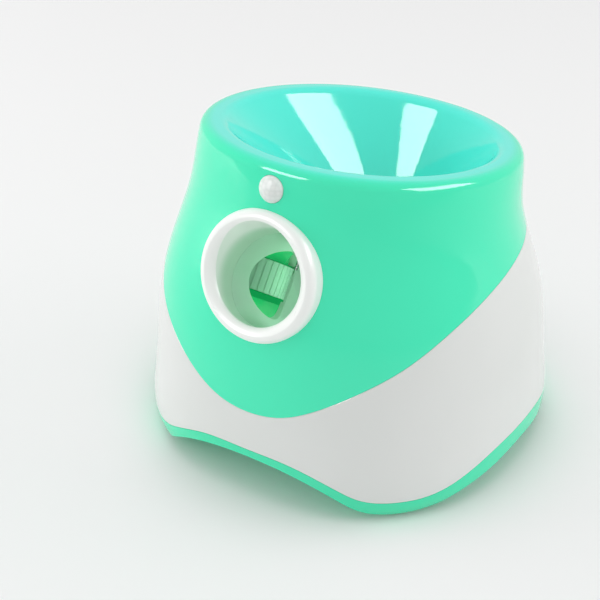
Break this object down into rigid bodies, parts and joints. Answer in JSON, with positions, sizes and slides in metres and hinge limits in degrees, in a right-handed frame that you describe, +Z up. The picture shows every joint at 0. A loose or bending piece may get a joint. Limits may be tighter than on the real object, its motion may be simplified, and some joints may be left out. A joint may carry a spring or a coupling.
{
  "type": "automatic dog ball launcher",
  "caption": "Rounded automatic ball launcher for dogs: funnel hopper on top, ball chute, driven launch wheels beside an inclined barrel, ringed mouth and a motion sensor above it",
  "frame": {"origin": "on the floor, under the middle of the casing", "axes": "+Z up, the launch mouth faces -Y, +X to the right seen from the front"},
  "size_m": [0.253, 0.244, 0.2147],
  "materials": {
    "mint_shell": "glossy",
    "white_shell": "glossy",
    "barrel_plastic": "satin",
    "emerald_plastic": "glossy",
    "inner_plastic": "matte",
    "rubber": "matte",
    "tread": "matte",
    "hub_plastic": "satin",
    "steel": "brushed",
    "black_plastic": "matte",
    "lens": "translucent, satin",
    "lamp": "clear, tinted",
    "panel": "satin",
    "button": "glossy",
    "board_green": "satin",
    "connector": "satin",
    "capacitor": "sleeved can",
    "cell_wrap": "shrink wrap",
    "pillar": "turned"
  },
  "bodies": {
    "casing": {"upper_shell": "mint_shell", "base_pan": "mint_shell", "lower_shell": "white_shell", "nozzle_ring": "white_shell", "launch_barrel": "barrel_plastic", "left_wheel_housing": "emerald_plastic", "right_wheel_housing": "emerald_plastic", "left_housing_cover": "emerald_plastic", "right_housing_cover": "emerald_plastic", "ball_chute": "inner_plastic", "barrel_stand": "inner_plastic", "battery_holder": "inner_plastic", "rubber_feet": "rubber", "outlet_gasket": "rubber", "casing_screws": "steel", "stand_screws": "steel", "chute_screws": "steel", "holder_screws": "steel", "housing_screws": "steel", "motor_screws": "steel", "board_screws": "steel", "left_motor": "steel", "right_motor": "steel", "lever_pin": "steel", "motion_sensor": "steel", "usb_socket": "steel", "left_motor_cap": "black_plastic", "right_motor_cap": "black_plastic", "ball_switch": "black_plastic", "key_switches": "black_plastic", "main_chip": "black_plastic", "buzzer": "black_plastic", "sensor_lens": "lens", "lamp_lenses": "lamp", "rear_panel": "panel", "main_board": "board_green", "key_board": "board_green", "sensor_board": "board_green", "board_connectors": "connector", "capacitors": "capacitor", "battery_cells": "cell_wrap", "board_pillars": "pillar"},
    "right_wheel": {"right_tyre": "tread", "right_wheel_hub": "hub_plastic", "right_motor_shaft": "steel"},
    "left_wheel": {"left_tyre": "tread", "left_wheel_hub": "hub_plastic", "left_motor_shaft": "steel"},
    "lever": {"ball_lever": "inner_plastic"},
    "power_key": {"power_button": "button"},
    "distance_key": {"distance_button": "button"}
  },
  "joints": [
    {"name": "right_wheel_spin", "type": "hinge", "parent": "casing", "child": "right_wheel", "pos_m": [0.0563, -0.04667, 0.11083], "axis": [0, 0.6157, 0.788], "continuous": true},
    {"name": "left_wheel_spin", "type": "hinge", "parent": "casing", "child": "left_wheel", "pos_m": [-0.0563, -0.04667, 0.11083], "axis": [0, 0.6157, 0.788], "continuous": true},
    {"name": "ball_lever_pivot", "type": "hinge", "parent": "casing", "child": "lever", "pos_m": [0, 0.04055, 0.07181], "axis": [1, 0, 0], "range_deg": [0, 9], "stiffness_Nm_per_rad": 0.02, "springref_deg": -11.46},
    {"name": "power_button_press", "type": "slide", "parent": "casing", "child": "power_key", "axis": [0, -1, 0], "range_m": [0, 0.0008], "stiffness_N_per_m": 900, "springref_m": -0.0008},
    {"name": "distance_button_press", "type": "slide", "parent": "casing", "child": "distance_key", "axis": [0, -1, 0], "range_m": [0, 0.0008], "stiffness_N_per_m": 900, "springref_m": -0.0008}
  ]
}
